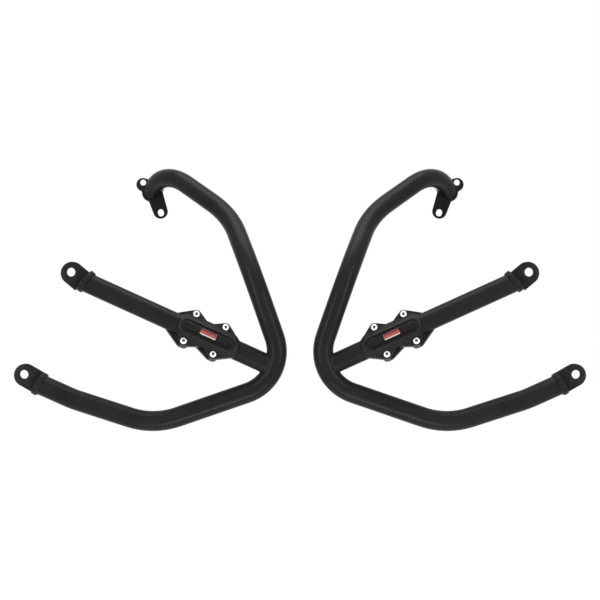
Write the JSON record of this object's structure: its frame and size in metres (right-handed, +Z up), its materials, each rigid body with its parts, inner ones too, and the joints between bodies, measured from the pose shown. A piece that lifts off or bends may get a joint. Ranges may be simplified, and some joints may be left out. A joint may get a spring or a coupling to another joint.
{
  "type": "motorcycle crash bars",
  "caption": "Tubular crash bars for a motorcycle, each a bent tube with a welded brace, bolt tabs, an upper bracket and a clamped plastic slider.",
  "frame": {"origin": "middle of the box round both bars, as they stand side by side", "axes": "+X across the pair, +Y from the outer faces towards the motorcycle, +Z up"},
  "size_m": [0.7152, 0.1888, 0.3457],
  "materials": {
    "powder_coat": "satin black powder coat",
    "moulded_slider": "finely grained black nylon",
    "gloss_pad": "smooth glossy black",
    "badge_plate": "glossy red and white fields",
    "screw_steel": "bright zinc plated",
    "nut_steel": "dull zinc plated"
  },
  "bodies": {
    "root": {"left_main_tube": "powder_coat", "left_brace_tube": "powder_coat", "left_upper_bracket": "powder_coat", "left_mid_collar": "powder_coat", "left_mid_tab": "powder_coat", "left_lower_collar": "powder_coat", "left_lower_tab": "powder_coat", "left_welds": "powder_coat", "left_slider_front": "moulded_slider", "left_slider_rear": "moulded_slider", "left_slider_pad": "gloss_pad", "left_badge": "badge_plate", "left_slider_screws": "screw_steel", "left_slider_nuts": "nut_steel", "right_main_tube": "powder_coat", "right_brace_tube": "powder_coat", "right_upper_bracket": "powder_coat", "right_mid_collar": "powder_coat", "right_mid_tab": "powder_coat", "right_lower_collar": "powder_coat", "right_lower_tab": "powder_coat", "right_welds": "powder_coat", "right_slider_front": "moulded_slider", "right_slider_rear": "moulded_slider", "right_slider_pad": "gloss_pad", "right_badge": "badge_plate", "right_slider_screws": "screw_steel", "right_slider_nuts": "nut_steel"}
  },
  "joints": []
}
